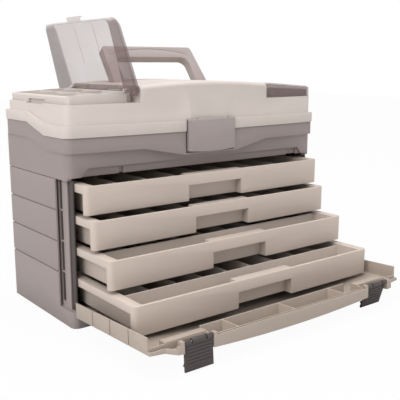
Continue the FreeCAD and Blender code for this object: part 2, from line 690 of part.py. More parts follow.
def make_lid_shell():
    wall = S.lid_wall
    casings = []
    for casing in handle_slots(wall, HANDLE_SLOT_FLOOR - wall):
        casings.append(common(casing, crown(wall / 2, LEDGE - wall * 2)))
    web_low = SEAM_HIGH + S.seam_gap + S.hinge_gap
    knuckles = lid_knuckles(S.lid_knuckle_length + S.overlap, web_low,
                            SEAM_HIGH + S.lid_web_height + S.hinge_gap)
    solid = fuse([lid_skin()] + casings + cover_ears() + latch_ears() + knuckles)
    cutters = handle_slots(size(0), HANDLE_SLOT_FLOOR)
    x0, x1 = tray_opening(S.tray_seat)
    cutters += mirrored_boxes(x0, x1, -(LID_FRONT - S.tray_front_inset - S.tray_seat),
                              LID_BACK - S.tray_back_inset - S.tray_seat,
                              LEDGE - wall * 2, LEDGE + OVER)
    cutters.append(wide_box(S.latch_half_width + S.latch_gap,
                            -(BAND_FRONT + S.rim_bow) - OVER, -(LID_FRONT + S.lid_bow), SEAM_LOW,
                            LATCH_PIN_Z + S.latch_barrel + S.latch_headroom))
    cutters += [handle_pin_bore(), lid_rod_bore(S.pin_play)]
    cutters += [cover_rod_bore(1, 0), cover_rod_bore(-1, 0)]
    for x0, x1 in spans(LID_KNUCKLE_MIDDLE, S.lid_knuckle_length):
        cutters.append(cylinder("X", S.lid_hinge_radius + S.hinge_gap, x0 - S.hinge_gap,
                                x1 + S.hinge_gap, LID_HINGE_BACK, SEAM_HIGH))
    cutters += catch_slots()
    ears = cut(fuse(latch_ears()), [latch_bore(0)])
    shell = cut(cut(solid, cutters), [latch_bore(0)])
    return keep(fuse([shell, ears]), "lid_shell")


def catch_slots():
    """The slot in each side of the lid that takes a cover's catch."""
    half = S.catch_length / 2
    return mirrored_boxes(LID_HALF - S.tray_inset - S.tray_seat - OVER, LID_HALF + OVER, -half, half,
                          LEDGE - S.catch_drop, LEDGE + OVER)


# ---------------------------------------------------------------- pocket trays
POCKET_ROWS = 3
POCKET_COLUMNS = 2


def catch_recess(side, outer):
    """The recess in a tray's outer wall that carries on the lid's catch slot."""
    half = S.catch_length / 2
    return box(*ordered((outer - S.catch_depth) * side, (outer + OVER) * side), -half, half, LEDGE,
               LEDGE + S.catch_rise)


def make_pocket_tray(side, label):
    """A six-pocket tray in the lid's end; side is +1 on the right and -1 on the left."""
    x0, x1 = tray_opening(size(0))
    front = -(LID_FRONT - S.tray_front_inset)
    back = LID_BACK - S.tray_back_inset
    seat = S.tray_seat + S.pan_clearance
    profile = [(x0, LEDGE), (x1, LEDGE), (x1, TRAY_OUTER_TOP - S.tray_bevel),
               (x1 - S.tray_bevel, TRAY_OUTER_TOP), (x0, TRAY_INNER_TOP)]
    profile = [(a * side, b) for a, b in profile]
    upper = common(prism("XZ", profile, front, back),
                   lid_plan(S.tray_inset, LEDGE, TRAY_INNER_TOP))
    lower = box(*ordered((x0 + seat) * side, (x1 - seat) * side), front + seat, back - seat,
                TRAY_FLOOR, LEDGE + OVER)
    wall = S.tray_wall
    first_x, last_x = x0 + seat + wall, x1 - seat - wall
    first_y, last_y = front + seat + wall, back - seat - wall
    step_x = (last_x - first_x + S.pocket_wall) / POCKET_COLUMNS
    step_y = (last_y - first_y + S.pocket_wall) / POCKET_ROWS
    cutters = [catch_recess(side, x1)]
    for column in range(POCKET_COLUMNS):
        for row in range(POCKET_ROWS):
            a = first_x + step_x * column
            c = first_y + step_y * row
            ends = ordered(a * side, (a + step_x - S.pocket_wall) * side)
            cutters.append(box(*ends, c, c + step_y - S.pocket_wall, TRAY_FLOOR + wall,
                               TRAY_INNER_TOP + OVER))
    return keep(cut(fuse([upper, lower]), cutters), label)


# ---------------------------------------------------------------- pocket covers
def cover_profile(inset):
    """Front view of a cover on the right: sloped top, shoulder and outer wall."""
    low = LEDGE + S.cover_gap - inset
    outer = COVER_HALF - inset
    top = COVER_AXIS_Z + S.cover_round - inset
    return [
        (COVER_AXIS, low), (outer, low), (outer, COVER_SHOULDER),
        (COVER_OUTER_SIDE, COVER_OUTER_TOP - inset), (COVER_AXIS, top),
    ]


def cover_ears():
    """Eyes on the lid's deck that carry the rods of the two covers."""
    pieces = []
    for side in (1, -1):
        for place in (1, -1):
            middle = (S.cover_knuckle_place + S.cover_knuckle + S.hinge_gap) * place
            y0, y1 = middle - S.cover_knuckle / 2, middle + S.cover_knuckle / 2
            x = COVER_AXIS * side
            low, high = x - S.cover_barrel, x + S.cover_barrel
            pieces.append(cylinder("Y", S.cover_barrel, y0, y1, x, COVER_AXIS_Z))
            pieces.append(box(low, high, y0, y1, LEDGE - S.lid_wall,
                              COVER_AXIS_Z))
    return pieces


def cover_rod_bore(side, play):
    reach = S.cover_knuckle_place + S.cover_knuckle * 2
    return cylinder("Y", S.cover_rod_radius + play, -reach, reach,
                    COVER_AXIS * side, COVER_AXIS_Z)


def make_cover_rod(side, label):
    reach = S.cover_knuckle_place + S.cover_knuckle * KNUCKLES / 2 + S.hinge_gap
    rod = cylinder("Y", S.cover_rod_radius, -reach, reach, COVER_AXIS * side,
                   COVER_AXIS_Z)
    return keep(rod, label)


def cover_ear_notches(side):
    """Notches in the cover's rolled inner edge that pass the lid's eyes as the cover turns."""
    notches = []
    x = COVER_AXIS * side
    ends = ordered(x, x - (S.cover_round + OVER) * side)
    for place in (1, -1):
        middle = (S.cover_knuckle_place + S.cover_knuckle + S.hinge_gap) * place
        half = S.cover_knuckle / 2 + S.hinge_gap
        notches.append(box(*ends, middle - half, middle + half, LEDGE,
                           COVER_AXIS_Z + S.cover_notch_rise))
    return notches


def cover_solid(side, inset, deeper):
    """The cover's outer form, set in by inset; deeper lowers its open underside."""
    front, back = -(LID_FRONT + S.lid_bow) - OVER, COVER_BACK + OVER
    points = [(a * side, b) for a, b in cover_profile(inset)]
    roll = cylinder("Y", S.cover_round - inset, front, back, COVER_AXIS * side, COVER_AXIS_Z)
    plan = rounded_plan(COVER_HALF - inset, LID_FRONT - inset, COVER_BACK - inset, S.lid_bow,
                        S.cover_corner - inset, LEDGE - deeper, CROWN_TOP)
    return common(fuse([prism("XZ", points, front, back), roll]), plan)


def cover_ribs(side, inner):
    """Thin lines moulded under the cover's top: one along it and two running to its tab."""
    x0 = COVER_AXIS + S.cover_rib_start
    strips = [box(*ordered(x0 * side, (x0 + S.cover_rib) * side), -(LID_FRONT + S.lid_bow),
                  LID_BACK, COVER_SHOULDER - S.cover_rib, CROWN_TOP)]
    for place in (-1, 1):
        middle = S.cover_rib_spacing * place
        strips.append(box(*ordered(x0 * side, COVER_HALF * side), middle, middle + S.cover_rib,
                          COVER_SHOULDER - S.cover_rib, CROWN_TOP))
    core = cover_solid(side, S.cover_wall + S.cover_rib, S.cover_round)
    return cut(common(fuse(strips), inner), [core])


def make_cover(side, label):
    """A clear tray-shaped cover over a pocket tray, hinged along its inner edge."""
    wall = S.cover_wall
    front, back = -(LID_FRONT + S.lid_bow) - OVER, COVER_BACK + OVER
    inner = cover_solid(side, wall, S.cover_round)
    under = box(*ordered(COVER_AXIS * side, (CROWN_HALF - OVER) * side), front, back, LEDGE - OVER,
                COVER_AXIS_Z)
    pieces = [cut(cover_solid(side, size(0), size(0)), [inner, under]), cover_ribs(side, inner)]
    x = COVER_AXIS * side
    places = [(S.cover_knuckle_place, S.cover_knuckle), (-S.cover_knuckle_place, S.cover_knuckle),
              (0, S.cover_centre_knuckle)]
    for middle, length in places:
        y0, y1 = middle - length / 2, middle + length / 2
        pieces.append(cylinder("Y", S.cover_barrel, y0, y1, x, COVER_AXIS_Z))
        pieces.append(box(x - wall, x + wall, y0, y1, COVER_AXIS_Z,
                          COVER_AXIS_Z + S.cover_round - wall / 2))
    half = S.cover_tab_width / 2
    tip = LID_HALF + S.cover_tab_reach
    low = LEDGE + S.cover_gap
    pieces.append(box(*ordered((COVER_HALF - wall / 2) * side, tip * side), -half, half, low,
                      low + S.cover_tab_thickness))
    pieces.append(box(*ordered((tip - S.cover_tab_thickness) * side, tip * side), -half, half,
                      low, low + S.cover_tab_lip))
    cover = cut(fuse(pieces), [cover_rod_bore(side, S.pin_play)] + cover_ear_notches(side))
    if side < 0:
        turned(cover, "Y", S.left_cover_open, -COVER_AXIS, COVER_AXIS_Z)
    return keep(cover, label)


# ---------------------------------------------------------------- centre latch
def latch_ears():
    """Two eyes on the lid's front that carry the centre latch."""
    pieces = []
    for x0, x1 in spans(S.latch_ear_middle, S.latch_ear_width):
        pieces.append(cylinder("X", S.latch_ear_radius, x0, x1, -LATCH_PIN_FRONT,
                               LATCH_PIN_Z))
        pieces.append(box(x0, x1, -LATCH_PIN_FRONT, -(LID_FRONT + S.lid_bow) + OVER,
                          LATCH_PIN_Z - S.latch_ear_radius,
                          LATCH_PIN_Z + S.latch_ear_radius))
    return pieces


def latch_bore(play):
    half = S.latch_half_width + OVER
    return cylinder("X", S.latch_pin_radius + play, -half, half, -LATCH_PIN_FRONT,
                    LATCH_PIN_Z)


def make_centre_latch():
    half, plate = S.latch_half_width, S.latch_plate
    end_front = LATCH_FRONT - S.latch_bow
    rear = S.latch_depth - LATCH_FRONT
    low = LATCH_BOTTOM - S.latch_smile
    block = bowed_block(half, end_front, rear, S.latch_bow, low, LATCH_PIN_Z)
    hollow = bowed_block(half - plate, end_front - plate, rear + OVER, S.latch_bow, low + plate,
                         LATCH_PIN_Z + OVER)
    radius = bow_radius(half, S.latch_smile)
    smile = cylinder("Y", radius, -LATCH_FRONT - OVER, 0, 0, low + radius)
    barrel = cylinder("X", S.latch_barrel, -half, half, -LATCH_PIN_FRONT, LATCH_PIN_Z)
    body = fuse([common(cut(block, [hollow]), smile), barrel])
    cutters = [latch_bore(S.pin_play)]
    for x0, x1 in spans(S.latch_ear_middle, S.latch_ear_width):
        cutters.append(box(x0 - S.hinge_gap, x1 + S.hinge_gap, plate - LATCH_FRONT, 0,
                           LATCH_BOTTOM + plate, LATCH_PIN_Z + S.latch_barrel + OVER))
    return keep(cut(body, cutters), "centre_latch")


def make_latch_pin():
    half = S.latch_half_width - S.latch_plate
    pin = cylinder("X", S.latch_pin_radius, -half, half, -LATCH_PIN_FRONT, LATCH_PIN_Z)
    return keep(pin, "centre_latch_pin")


# ---------------------------------------------------------------- carry handle
THROAT_STEPS = 4


def handle_outline():
    """The handle's outline in its own plane, from the pivot line up."""
    base, top = S.handle_half_width, HANDLE_TOP_HALF
    pivot = HANDLE_PIVOT_Z
    crest = pivot + S.handle_reach
    throat = crest - S.handle_grip
    foot = base - S.handle_leg
    bend = top - S.handle_leg + S.handle_leg_slim - S.handle_throat / 3
    half = [(foot, pivot), (base, pivot), (top, crest - S.handle_chamfer),
            (top - S.handle_chamfer, crest)]
    middle_x, middle_z = bend - S.handle_throat, throat - S.handle_throat
    inside = []
    for step in range(THROAT_STEPS + 1):
        angle = size(90) * (THROAT_STEPS - step) / THROAT_STEPS
        inside.append((middle_x + S.handle_throat * cosine(angle),
                       middle_z + S.handle_throat * sine(angle)))
    right = inside + half
    return right + [(-a, b) for a, b in reversed(right)]


def handle_pin_bore():
    bores = []
    for side in (1, -1):
        ends = ordered((HANDLE_INNER - OVER) * side, (HANDLE_OUTER + OVER) * side)
        bores.append(cylinder("X", S.handle_pin_radius, *ends, S.handle_pivot_back,
                              HANDLE_PIVOT_Z))
    return fuse(bores)


def handle_crease(front):
    """The shallow arched groove across the front of the grip."""
    reach = HANDLE_TOP_HALF - S.handle_leg / 2
    crest = HANDLE_PIVOT_Z + S.handle_reach - S.handle_crease_drop
    radius = bow_radius(reach, S.handle_crease_rise)
    back = front + S.handle_crease_depth
    ring = cut(cylinder("Y", radius, front - OVER, back, 0, crest - radius),
               [cylinder("Y", radius - S.handle_crease_width, front - OVER, back, 0,
                         crest - radius)])
    return common(ring, wide_box(reach, front - OVER, back, crest - S.handle_crease_rise * 2,
                                 crest + OVER))


def make_handle():
    half = S.handle_thickness / 2
    y0, y1 = S.handle_pivot_back - half, S.handle_pivot_back + half
    bail = prism("XZ", handle_outline(), y0, y1)
    eyes, bores = [], [handle_crease(y0)]
    for x0, x1 in spans(S.handle_half_width - S.handle_leg / 2, S.handle_leg):
        eyes.append(cylinder("X", half, x0, x1, S.handle_pivot_back, HANDLE_PIVOT_Z))
        bores.append(cylinder("X", S.handle_pin_radius + S.pin_play, x0 - OVER, x1 + OVER,
                              S.handle_pivot_back, HANDLE_PIVOT_Z))
    handle = cut(fuse([bail] + eyes), bores)
    turned(handle, "X", -S.handle_lean, S.handle_pivot_back, HANDLE_PIVOT_Z)
    return keep(handle, "carry_handle")


def make_handle_pin(side, label):
    ends = ordered(HANDLE_INNER * side, HANDLE_OUTER * side)
    pin = cylinder("X", S.handle_pin_radius, *ends, S.handle_pivot_back, HANDLE_PIVOT_Z)
    return keep(pin, label)


# ---------------------------------------------------------------- drawers
def drawer_out(number):
    return getattr(S, f"drawer_{number}_out")


def drawer_front(number):
    return -DRAWER_HOME - drawer_out(number)


def make_drawer(number, with_trough):
    low = bay_bottom(number)
    top = low + S.drawer_height
    front = drawer_front(number)
    back = front + S.drawer_length
    face = S.drawer_face
    wall = S.drawer_wall
    pull_top = top - wall
    corner = S.drawer_corner
    face_block = rounded_front(DRAWER_FRONT_HALF, front, front + corner + wall, corner, low, top)
    face_hollow = wide_box(DRAWER_HALF - wall, front + face, front + corner * 2, low + wall,
                           top + OVER)
    box_block = cut(wide_box(DRAWER_HALF, front + face - OVER, back, low, top),
                    [wide_box(DRAWER_HALF - wall, front + face, back - wall, low + wall,
                              top + OVER)])
    flanges = mirrored_boxes(DRAWER_HALF - wall, DRAWER_FRONT_HALF, front + corner, back,
                             top - wall, top)
    lips = mirrored_boxes(DRAWER_FRONT_HALF - wall, DRAWER_FRONT_HALF, front + corner, back,
                          top - S.flange_drop, top)
    pull = wide_box(S.pull_half_width + wall, front, front + S.pull_depth + wall, low, top)
    pieces = [cut(face_block, [face_hollow]), box_block, pull] + flanges + lips
    if with_trough:
        middle = front + S.trough_depth
        pieces.append(wide_box(DRAWER_HALF - OVER, middle - wall / 2, middle + wall / 2, low + OVER,
                               top - wall))
    pull_recess = wide_box(S.pull_half_width, front - OVER, front + S.pull_depth, low - OVER,
                           low + S.pull_height)
    pull_hollow = wide_box(S.pull_half_width, front + face, front + S.pull_depth,
                           low - OVER, pull_top)
    return keep(cut(fuse(pieces), [pull_recess, pull_hollow]), f"drawer_{number}")


def divider_places(with_trough):
    """The X places of a drawer's dividers."""
    cells = 9 if with_trough else 8
    pitch = (DRAWER_HALF - S.drawer_wall) * 2 / cells
    return [pitch * (index - size(cells) / 2) for index in range(1, cells)]


def make_dividers(number, with_trough):
    front = drawer_front(number)
    back = front + S.drawer_length - S.drawer_wall - S.divider_gap
    low = bay_bottom(number) + S.drawer_wall
    half = S.divider_thickness / 2
    plates = []
    for place in divider_places(with_trough):
        start = front + S.drawer_face + S.divider_gap
        if with_trough:
            start = front + S.trough_depth + S.drawer_wall / 2 + S.divider_gap
        elif abs(place.number) < (S.pull_half_width + S.drawer_wall * 2).number:
            start = front + S.pull_depth + S.drawer_wall + S.divider_gap
        plates.append(box(place - half, place + half, start, back, low, low + S.divider_height))
    group = doc.addObject("Part::Compound", "Dividers")
    group.Links = plates
    return keep(group, f"drawer_{number}_dividers")


# ---------------------------------------------------------------- runner racks
def make_rack(side, label):
    """The slotted frame inside one wall that carries the flanges of the four drawers."""
    wall_face = BODY_HALF - WALL
    front, back = -RACK_FRONT, RACK_BACK
    pieces = []

    def put(x0, x1, y0, y1, z0, z1):
        pieces.append(box(*ordered(x0 * side, x1 * side), y0, y1, z0, z1))

    put(RACK_INNER, RACK_OUTER, -RACK_FACE, back, S.sill_height, CABINET_TOP)
    for place in (RECESS_BACK + S.recess_slot + WALL * 2, back - S.rack_plate):
        put(RACK_OUTER - OVER, wall_face, place, place + S.rack_plate, S.sill_height, CABINET_TOP)
    ledge_inner = DRAWER_HALF + S.rack_ledge_clearance
    for number in range(1, 5):
        top = bay_bottom(number) + S.drawer_height
        seat = top - S.flange_drop - S.rack_play
        put(ledge_inner, RACK_INNER + OVER, front, back, seat - S.rack_ledge, seat)
        guide = top + S.rack_play
        put(RACK_INNER - S.rack_guide, RACK_INNER + OVER, front, back, guide,
            guide + S.rack_guide_height)
    return keep(fuse(pieces), label)


# ---------------------------------------------------------------- front door
def door_y(along):
    """Y of a place on the level door, from its distance along from the hinge line."""
    return -DOOR_HINGE_FRONT - along


def door_z(above):
    return DOOR_HINGE_Z + above


def door_plan(inset):
    """The door's outline seen from above: square corners and a longer middle tongue."""
    half = BODY_HALF - inset
    slope = inset / 2
    return [
        (-half, door_y(S.door_heel + inset)), (half, door_y(S.door_heel + inset)),
        (half, door_y(DOOR_LENGTH - inset)),
        (LEG_INNER - slope, door_y(DOOR_LENGTH - inset)),
        (ARCH_INNER - slope, door_y(DOOR_TONGUE - inset)),
        (-(ARCH_INNER - slope), door_y(DOOR_TONGUE - inset)),
        (-(LEG_INNER - slope), door_y(DOOR_LENGTH - inset)),
        (-half, door_y(DOOR_LENGTH - inset)),
    ]


def door_skin_limit(lift):
    """The large cylinder that gives the door its bowed outer face, lifted by a wall inside."""
    radius = (BODY_HALF * BODY_HALF + S.door_bow * S.door_bow) / (S.door_bow * 2)
    middle = door_z(-S.door_under - S.door_bow + lift) + radius
    return cylinder("Y", radius, door_y(DOOR_TONGUE + OVER), door_y(0), 0, middle)


def door_block(inset, lift, top):
    low = door_z(-S.door_under - S.door_bow - OVER)
    return common(prism("XY", door_plan(inset), low, door_z(top)), door_skin_limit(lift))


def door_inner_walls():
    """The partitions of the door tray and the two raised pads behind its corners."""
    wall = S.door_wall
    low, top = door_z(-S.door_under - S.door_bow), door_z(S.door_inner_height)
    lip = DOOR_TONGUE - wall - S.door_lip_gap
    step = DOOR_LENGTH - S.door_corner_depth
    walls = [
        wide_box(PARTITION_HALF, door_y(S.door_partition + wall / 2),
                 door_y(S.door_partition - wall / 2), low, top),
        wide_box(PAD_INNER + OVER, door_y(lip), door_y(lip - wall), low, top),
    ]
    for place in (-1, 0, 1):
        middle = S.door_cell_pitch * place
        walls.append(box(middle - wall / 2, middle + wall / 2, door_y(lip - OVER),
                         door_y(S.door_partition), low, top))
    walls += mirrored_boxes(PAD_INNER, BODY_HALF - OVER, door_y(step), door_y(step - wall), low,
                            top)
    walls += mirrored_boxes(PAD_INNER, PAD_INNER + wall, door_y(lip), door_y(step - OVER), low,
                            top)
    walls += mirrored_boxes(PAD_INNER, PAD_OUTER, door_y(step - OVER),
                            door_y(step - S.pad_length), top, top + S.pad_thickness)
    walls += mirrored_boxes(PAD_INNER, PAD_INNER + wall, door_y(step - OVER),
                            door_y(step - S.pad_length), low, top + S.pad_thickness)
    walls += mirrored_boxes(PAD_OUTER - wall, PAD_OUTER, door_y(step - OVER),
                            door_y(step - S.pad_length), low, top + S.pad_thickness)
    return walls


def clip_span(side):
    middle = CLIP_MIDDLE * side
    return middle - S.clip_width / 2, middle + S.clip_width / 2


def door_trims():
    """What the door tray loses above its inner height: tongue, hinge side and low corners."""
    wall, above = S.door_wall, door_z(S.door_side_height + OVER)
    trims = [
        wide_box(LEG_INNER, door_y(DOOR_TONGUE + OVER), door_y(DOOR_LENGTH - wall - OVER),
                 door_z(S.door_inner_height), above),
        wide_box(BODY_HALF - wall, door_y(S.door_heel + wall + OVER), door_y(0),
                 door_z(S.door_heel_height), above),
    ]
    trims += mirrored_boxes(ARCH_INNER, BODY_HALF + OVER, door_y(DOOR_TONGUE + OVER),
                            door_y(DOOR_LENGTH - S.door_corner_depth),
                            door_z(S.door_corner_height), above)
    return trims


def door_grooves():
    """The grooves across the door's sides that carry on those of the cabinet."""
    cutters = []
    for level in range(1, 4):
        along = S.bay_floor + S.bay_pitch * level - DOOR_HINGE_Z
        cutters += mirrored_boxes(BODY_HALF - S.groove_depth, BODY_HALF + OVER,
                                  door_y(along + S.groove_width / 2),
                                  door_y(along - S.groove_width / 2),
                                  door_z(-S.door_under - OVER), door_z(S.door_side_height + OVER))
    return cutters


def make_front_door():
    wall = S.door_wall
    top = S.door_side_height
    tray = cut(door_block(size(0), size(0), top), [door_block(wall, wall, top + OVER)])
    inner = common(fuse(door_inner_walls()), door_block(wall / 2, wall / 2, top))
    solid = fuse([cut(tray, door_trims()), inner] + clip_ears())
    cutters = door_grooves()
    for side in (1, -1):
        x0, x1 = clip_span(side)
        cutters.append(box(x0 - S.clip_side_gap, x1 + S.clip_side_gap, door_y(DOOR_TONGUE + OVER),
                           door_y(DOOR_TONGUE - S.clip_pocket),
                           door_z(-S.door_under - S.door_bow - OVER), door_z(top)))
    barrels = []
    for x0, x1 in spans(DOOR_KNUCKLE_MIDDLE, S.door_knuckle - S.hinge_gap * 2):
        barrels.append(cylinder("X", S.door_barrel, x0, x1, door_y(0), door_z(0)))
        barrels.append(box(x0, x1, door_y(S.door_heel + wall), door_y(0),
                           door_z(-S.door_barrel), door_z(0)))
    bores = [cylinder("X", S.door_rod_radius + S.pin_play, -BODY_HALF, BODY_HALF, door_y(0),
                      door_z(0))]
    bores += [cylinder("X", S.clip_pin_radius, x0, x1, door_y(CLIP_PIN_PLACE),
                       door_z(S.clip_pin_height))
              for x0, x1 in spans(CLIP_MIDDLE, CLIP_EAR_REACH * 2)]
    door = cut(fuse([cut(solid, cutters)] + barrels), bores)
    turned(door, "X", -S.door_tilt, -DOOR_HINGE_FRONT, DOOR_HINGE_Z)
    return keep(door, "front_door")


def clip_ears():
    """The raised shoulders on both sides of each latch, which hold the ends of its pin."""
    top = S.clip_pin_height + S.clip_pin_radius + S.clip_ear_wall
    ears = []
    for x0, x1 in spans(CLIP_MIDDLE, CLIP_EAR_REACH * 2):
        ears.append(box(x0, x1, door_y(CLIP_PIN_PLACE + S.clip_barrel),
                        door_y(CLIP_PIN_PLACE - S.clip_barrel), door_z(-S.door_under),
                        door_z(top)))
    return ears


def make_door_rods():
    """One short hinge rod through each group of three knuckles."""
    rods = []
    for x0, x1 in spans(DOOR_KNUCKLE_MIDDLE, S.door_knuckle * KNUCKLES):
        rods.append(cylinder("X", S.door_rod_radius, x0, x1, -DOOR_HINGE_FRONT,
                             DOOR_HINGE_Z))
    group = doc.addObject("Part::Compound", "Rods")
    group.Links = rods
    return keep(group, "door_hinge_rods")


# ---------------------------------------------------------------- door latches
def clip_pin_centre():
    """Y and Z of the latch pins once the door is tilted."""
    along, above = CLIP_PIN_PLACE, S.clip_pin_height
    y = -DOOR_HINGE_FRONT - along * cosine(S.door_tilt) + above * sine(S.door_tilt)
    z = DOOR_HINGE_Z + along * sine(S.door_tilt) + above * cosine(S.door_tilt)
    return y, z


CLIP_RIBS = 6


def make_door_latch(side, lean, label):
    """A ribbed latch that hangs from the door's lip and hooks under the tub's rim."""
    y, z = clip_pin_centre()
    x0, x1 = clip_span(side)
    half = S.clip_plate / 2
    barrel = cylinder("X", S.clip_barrel, x0, x1, y, z)
    plate = box(x0, x1, y - half, y + half, z - S.clip_length, z)
    hook_low = z - S.clip_hook_place - S.clip_edge
    hook = box(x0 - S.clip_nub, x0 + S.clip_edge, y - half, y + half, hook_low,
               hook_low + S.clip_edge)
    grip = box(x0, x1, y, y + half + S.clip_hook, hook_low - S.clip_plate, hook_low)
    ribs = []
    for index in range(1, CLIP_RIBS + 1):
        level = z - S.clip_barrel - S.clip_rib_pitch * index
        ribs.append(box(x0 + S.clip_edge, x1 - S.clip_edge, y - half - S.clip_rib, y, level,
                        level + S.clip_rib_pitch / 2))
    cutters = [cylinder("X", S.clip_pin_radius + S.pin_play, x0 - OVER, x1 + OVER, y, z)]
    middle = (x0 + x1) / 2
    for place in (-1, 1):
        slot = middle + S.clip_slot_place * place
        cutters.append(box(slot - S.clip_slot / 2, slot + S.clip_slot / 2,
                           y - S.clip_barrel - OVER, y + S.clip_barrel + OVER, z - half,
                           z + S.clip_barrel + OVER))
    latch = cut(fuse([barrel, plate, hook, grip] + ribs), cutters)
    turned(latch, "X", -lean, y, z)
    return keep(latch, label)


def make_clip_pin(side, label):
    y, z = clip_pin_centre()
    middle = CLIP_MIDDLE * side
    pin = cylinder("X", S.clip_pin_radius, middle - CLIP_EAR_REACH, middle + CLIP_EAR_REACH, y, z)
    return keep(pin, label)


make_cabinet_shell()
make_base_pan()
make_rack(-1, "left_runner_rack")
make_rack(1, "right_runner_rack")
make_upper_tub()
make_lid_shell()
make_lid_rod()
make_pocket_tray(-1, "left_pocket_tray")
make_pocket_tray(1, "right_pocket_tray")
make_cover(-1, "left_access_cover")
make_cover(1, "right_access_cover")
make_cover_rod(-1, "left_cover_rod")
make_cover_rod(1, "right_cover_rod")
make_centre_latch()
make_latch_pin()
make_handle()
make_handle_pin(-1, "left_handle_pin")
make_handle_pin(1, "right_handle_pin")
for drawer_number in range(1, 5):
    has_trough = drawer_number > 2
    make_drawer(drawer_number, has_trough)
    make_dividers(drawer_number, has_trough)
make_front_door()
make_door_rods()
make_door_latch(-1, S.left_clip_lean, "left_door_latch")
make_door_latch(1, S.right_clip_lean, "right_door_latch")
make_clip_pin(-1, "left_latch_pin")
make_clip_pin(1, "right_latch_pin")

doc.recompute()
for item in doc.Objects:
    if "Invalid" in item.State or "Error" in item.State:
        raise RuntimeError(f"{item.Name} failed: {item.State}")
os.makedirs("parts", exist_ok=True)
for item in parts:
    if item.Shape.isNull() or not item.Shape.isValid():
        raise RuntimeError(f"{item.Label} has no valid shape")
    item.Shape.exportStep(f"parts/{item.Label}.step")
    bounds = item.Shape.BoundBox
    print(f"{item.Label:22s} solids {len(item.Shape.Solids)} volume {item.Shape.Volume / 1000:9.2f} cm3"
          f"  x {bounds.XMin:7.1f} {bounds.XMax:7.1f}  y {bounds.YMin:7.1f} {bounds.YMax:7.1f}"
          f"  z {bounds.ZMin:7.1f} {bounds.ZMax:7.1f}")
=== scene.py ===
"""Fishing tackle cabinet: skins, finishes, stage and camera, laid out as a Blender add-on."""

import json
import math

import bpy
from bpy.props import FloatProperty, FloatVectorProperty, PointerProperty
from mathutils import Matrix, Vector


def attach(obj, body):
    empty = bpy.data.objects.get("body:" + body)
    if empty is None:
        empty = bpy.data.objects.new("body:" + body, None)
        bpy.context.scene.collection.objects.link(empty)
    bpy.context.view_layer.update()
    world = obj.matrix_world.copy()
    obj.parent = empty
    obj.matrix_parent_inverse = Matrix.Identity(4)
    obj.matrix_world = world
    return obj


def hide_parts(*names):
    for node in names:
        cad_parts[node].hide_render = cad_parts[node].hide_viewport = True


bl_info = {
    "name": "Tackle cabinet",
    "version": (1, 0, 0),
    "blender": (4, 5, 0),
    "location": "3D View > Sidebar > Cabinet",
    "description": "Moulded skins, clear covers and finishes for a fishing tackle cabinet",
    "category": "Object",
}

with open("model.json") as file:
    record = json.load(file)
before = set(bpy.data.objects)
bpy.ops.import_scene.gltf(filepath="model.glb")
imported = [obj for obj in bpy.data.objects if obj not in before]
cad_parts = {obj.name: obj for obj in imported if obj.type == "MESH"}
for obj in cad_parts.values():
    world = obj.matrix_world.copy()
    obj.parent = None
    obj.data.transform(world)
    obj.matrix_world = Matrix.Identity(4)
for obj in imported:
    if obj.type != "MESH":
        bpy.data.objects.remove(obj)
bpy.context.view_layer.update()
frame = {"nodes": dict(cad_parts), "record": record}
MM = 0.001

# Strength of the world's light, share of the floor that glows to the camera, and how often
# light passes on from one dull surface to the next.
AMBIENT = 0.78
FLOOR_GLOW = 0.96
DIFFUSE_BOUNCES = 1
FLOOR_SIZE = 14.0
FLOOR_DROP = 0.4 * MM

# Name, place, width and power of each lamp, and the point that they all face.
LAMPS = (
    ("key", (-2.3, -0.7, 1.5), 1.2, 19.0),
    ("front", (0.2, -2.3, 2.3), 1.2, 3.0),
    ("top", (0.0, 0.1, 2.6), 1.6, 28.0),
)
LAMP_TARGET = Vector((0.0, -0.05, 0.2))

CAMERA_PLACE = Vector((-734.7, -1047.7, 417.9)) * MM
CAMERA_TARGET = Vector((47.9, -37.0, 161.6)) * MM
CAMERA_LENS = 60.6
SENSOR_WIDTH = 36.0

# Points closer than WELD_GAP are one, faces flatter than FLAT_ANGLE are joined, edges sharper
# than SHARP_ANGLE are rounded and those below SMOOTH_ANGLE are shaded smooth.
WELD_GAP = 0.01 * MM
FLAT_ANGLE = math.radians(0.6)
SHARP_ANGLE = math.radians(32.0)
SMOOTH_ANGLE = math.radians(35.0)
ROUND_SEGMENTS = 2

# Distances from the middle plane between which a cover turns into its end wall, which painted
# shade darkens.
COVER_EDGE = (105.5 * MM, 108.5 * MM)

# Name of the colour, roughness and depth of the moulded grain of each plastic.
PLASTICS = {
    "shell_grey": ("shell", 0.52, 0.14 * MM),
    "lid_beige": ("lid", 0.50, 0.16 * MM),
    "drawer_beige": ("drawer", 0.46, 0.10 * MM),
    # The door's entry is the drawers' beige plastic with painted shade in its colour.
    "door_beige": ("door", 0.46, 0.10 * MM),
    "trim_grey": ("trim", 0.44, 0.08 * MM),
    "clip_grey": ("clip", 0.42, 0.06 * MM),
}
PLASTIC_GLOSS = 0.42
CLEAR_GLOSS = 0.6

# Pieces whose plastic is their slot's colour darkened as painted shade, for the dimmer light low
# on the front.
SHADED_TONES = {"front_door": "door_beige"}
DRAWERS = 4


# ------------------------------------------------------------------ settings
def length(name, text, millimetres):
    """A length property whose default is given in millimetres."""
    return FloatProperty(name=name, description=text, default=millimetres * MM, min=0.0,
                         unit="LENGTH", precision=5)


def colour(name, text, red, green, blue):
    """A colour property whose default is given as the eight-bit values of a paint chip."""
    chip = [linear(value / 255) for value in (red, green, blue)]
    return FloatVectorProperty(name=name, description=text, default=chip, min=0.0, max=1.0,
                               size=3, subtype="COLOR")


def linear(value):
    """The share of light that a share on the screen's scale stands for."""
    return value / 12.92 if value <= 0.04045 else ((value + 0.055) / 1.055) ** 2.4


